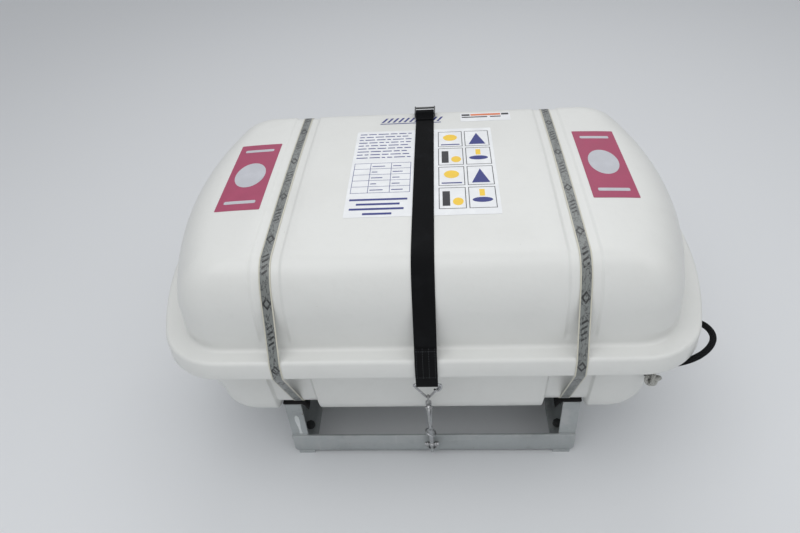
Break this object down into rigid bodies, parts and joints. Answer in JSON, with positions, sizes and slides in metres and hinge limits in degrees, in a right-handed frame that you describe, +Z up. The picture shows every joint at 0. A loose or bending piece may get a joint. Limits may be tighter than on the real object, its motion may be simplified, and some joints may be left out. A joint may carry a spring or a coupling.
{
  "type": "liferaft canister",
  "caption": "Two-part shell with an overhanging flange, banded shut and lashed by a webbing strap and slip hook to a low deck cradle.",
  "frame": {"origin": "centre of the cradle's footprint, on the deck under the foot pads", "axes": "+Z up, +X along the canister's length, -Y to the side with the slip hook"},
  "size_m": [1.09, 0.7112, 0.576],
  "materials": {
    "gelcoat": "satin gelcoat over glass-fibre laminate",
    "seal": "matt",
    "band_film": "grey film-wrapped strapping",
    "crimp": "plain galvanised",
    "webbing": "woven polyester",
    "stainless": "polished stainless steel",
    "cradle_paint": "grey paint over galvanised steel",
    "black_rubber": "matt",
    "zinc": "zinc plated",
    "black_rope": "braided",
    "white_rope": "braided",
    "raft_fabric": "packed coated fabric",
    "cylinder_paint": "satin",
    "pack_fabric": "coated bag"
  },
  "bodies": {
    "canister": {"upper_shell": "gelcoat", "lower_shell": "gelcoat", "shell_seal": "seal", "band_left": "band_film", "band_right": "band_film", "band_seal_left": "crimp", "band_seal_right": "crimp", "cradle_front_bar": "cradle_paint", "cradle_rear_bar": "cradle_paint", "cradle_rail_left": "cradle_paint", "cradle_rail_right": "cradle_paint", "rubber_strip_left": "black_rubber", "rubber_strip_right": "black_rubber", "foot_pad_front_left": "black_rubber", "foot_pad_front_right": "black_rubber", "foot_pad_rear_left": "black_rubber", "foot_pad_rear_right": "black_rubber", "deck_bolt_front_left": "zinc", "deck_bolt_front_right": "zinc", "deck_bolt_rear_left": "zinc", "deck_bolt_rear_right": "zinc", "front_shackle": "stainless", "front_shackle_pin": "stainless", "hook_body": "stainless", "hook_pin": "stainless", "lower_link": "stainless", "upper_link": "stainless", "front_delta_ring": "stainless", "rear_shackle": "stainless", "rear_shackle_pin": "stainless", "rear_link": "stainless", "rear_delta_ring": "stainless", "lashing_webbing": "webbing", "web_slide_buckle": "stainless", "rope_handle_right": "black_rope", "rope_handle_left": "black_rope", "painter_grommet": "black_rubber", "painter_line": "white_rope", "painter_knot": "white_rope", "packed_raft": "raft_fabric", "gas_cylinder": "cylinder_paint", "operating_head": "crimp", "emergency_pack": "pack_fabric", "painter_coil": "white_rope"},
    "tongue": {"hook_tongue": "stainless"},
    "ring": {"hook_ring": "stainless"}
  },
  "joints": [
    {"name": "tongue_open", "type": "hinge", "parent": "canister", "child": "tongue", "pos_m": [0, -0.3247, 0.22929], "axis": [-1, 0, 0], "range_deg": [0, 60]},
    {"name": "ring_slide", "type": "slide", "parent": "canister", "child": "ring", "axis": [0, 0.2327, -0.9726], "range_m": [0, 0.04]}
  ],
  "couplings": [
    {"joint": "ring_slide", "follows": "tongue_open", "m_per_rad": 0.038196}
  ]
}
